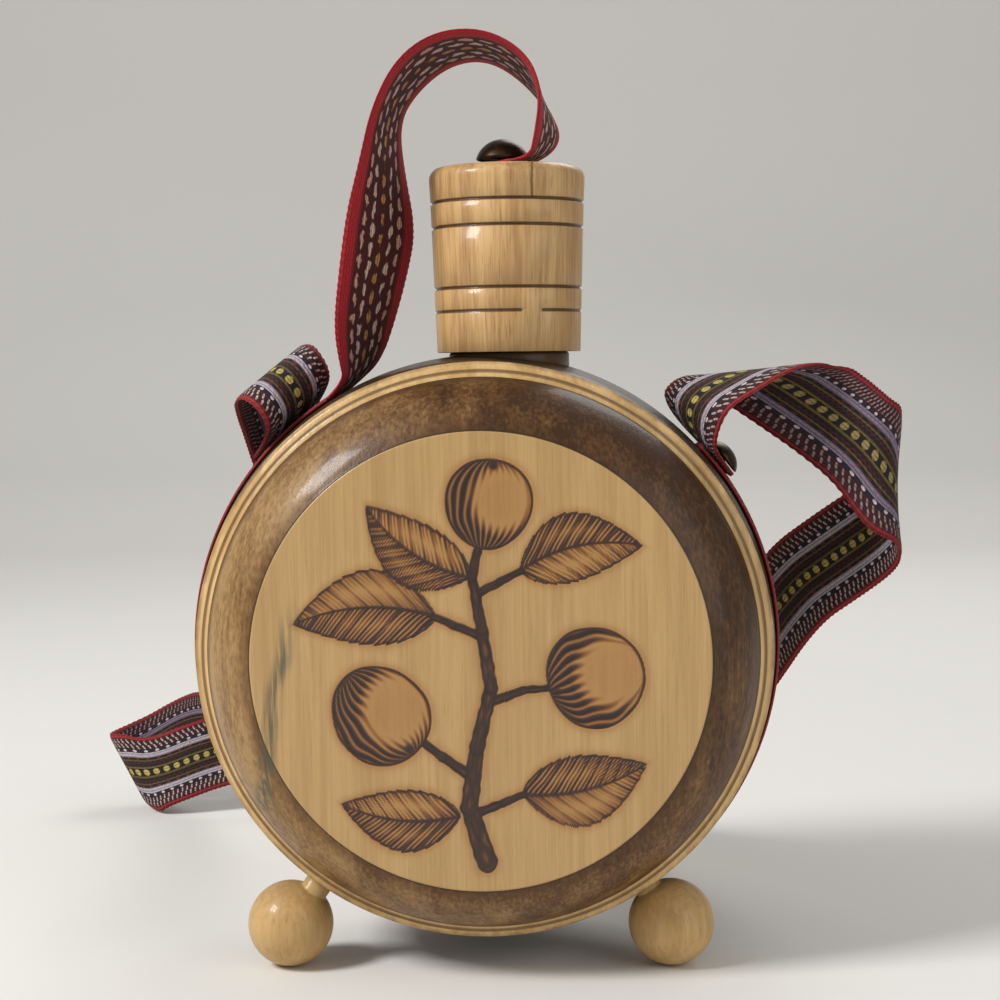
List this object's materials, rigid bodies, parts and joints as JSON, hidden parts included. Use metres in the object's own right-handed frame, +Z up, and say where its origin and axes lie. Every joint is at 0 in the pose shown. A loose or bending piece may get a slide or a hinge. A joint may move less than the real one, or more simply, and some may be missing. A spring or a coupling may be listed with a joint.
{
  "type": "wooden canteen",
  "caption": "Round turned wooden flask on ball feet, with a tall grooved cap and a woven carrying strap.",
  "frame": {"origin": "centre of the base, on the plane that the feet stand on", "axes": "+Z up along the neck, +Y from the decorated front to the back, +X to the right seen from the front"},
  "size_m": [0.2415, 0.221, 0.23],
  "materials": {
    "barrel_wood": "dark stained and lacquered",
    "panel_wood": "burnt, stained and lacquered",
    "pale_wood": "lacquered",
    "cap_wood": "turned and lacquered",
    "cork": "natural cork",
    "tack_metal": "dark bronze",
    "woven_strap": "woven braid"
  },
  "bodies": {
    "flask": {"barrel": "barrel_wood", "front_panel": "panel_wood", "rear_panel": "panel_wood", "neck": "pale_wood", "shoulder_tack_left": "tack_metal", "shoulder_tack_right": "tack_metal", "foot_front_left": "pale_wood", "foot_front_right": "pale_wood", "foot_rear": "pale_wood", "strap_girth": "woven_strap", "strap_carry": "woven_strap"},
    "cap": {"cap": "cap_wood", "cork_stopper": "cork", "cap_tack": "tack_metal", "strap_tether": "woven_strap"}
  },
  "joints": [
    {"name": "cap_pull", "type": "slide", "parent": "flask", "child": "cap", "axis": [0, 0, 1], "range_m": [0, 0.045], "deforming": ["strap_tether"]}
  ]
}
